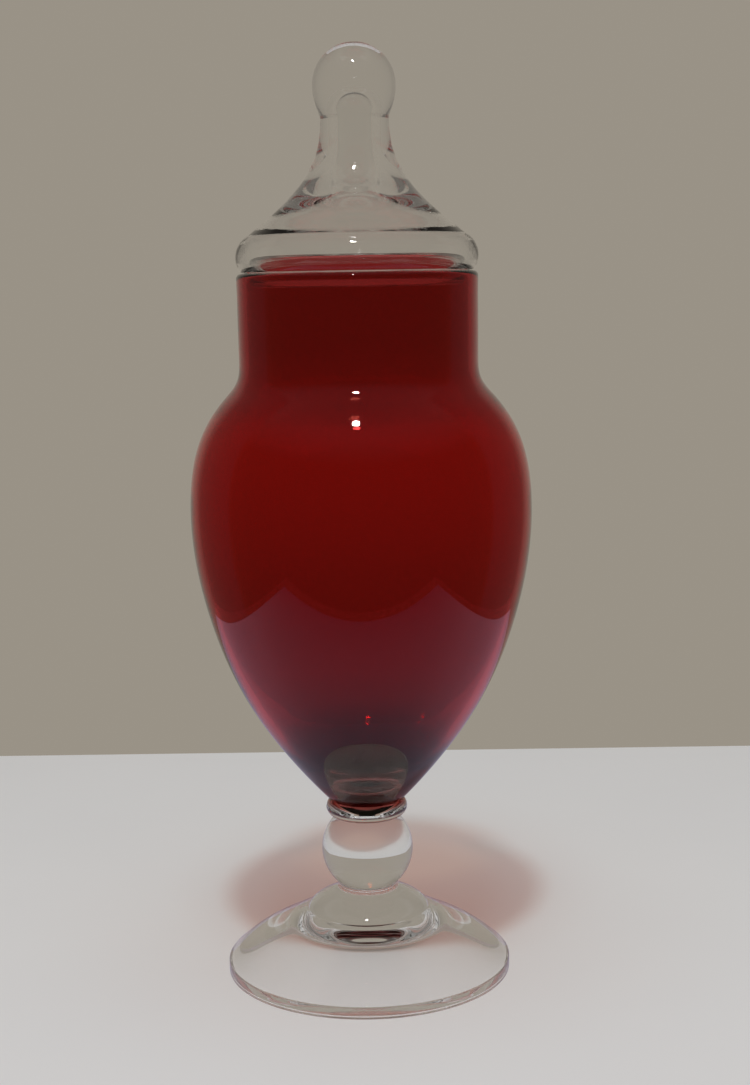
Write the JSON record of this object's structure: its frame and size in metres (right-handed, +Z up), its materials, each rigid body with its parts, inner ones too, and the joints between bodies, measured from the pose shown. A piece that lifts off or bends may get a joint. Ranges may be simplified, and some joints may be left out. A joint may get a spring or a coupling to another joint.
{
  "type": "footed glass jar",
  "caption": "Footed glass jar with a ruby ovoid bowl, straight neck, clear ball-knop stem and cone foot, and a clear lift-off lid with a ball finial.",
  "frame": {"origin": "centre of the foot's resting ring, on the surface the jar stands on", "axes": "+Z up along the jar's axis, from the foot to the finial; the jar is round, so +X and +Y are any two sides"},
  "size_m": [0.1098, 0.1098, 0.3],
  "materials": {
    "ruby_glass": "fire-polished transparent ruby glass",
    "clear_glass": "fire-polished clear glass with slight hand-worked waves"
  },
  "bodies": {
    "jar": {"foot": "clear_glass", "foot_boss": "clear_glass", "stem_knop": "clear_glass", "stem_wafer": "clear_glass", "bowl": "ruby_glass"},
    "lid": {"lid_shell": "clear_glass", "lid_collar": "clear_glass", "finial_knob": "clear_glass"}
  },
  "joints": [
    {"name": "lid_lift", "type": "slide", "parent": "jar", "child": "lid", "axis": [0, 0, 1], "range_m": [0, 0.1]}
  ]
}
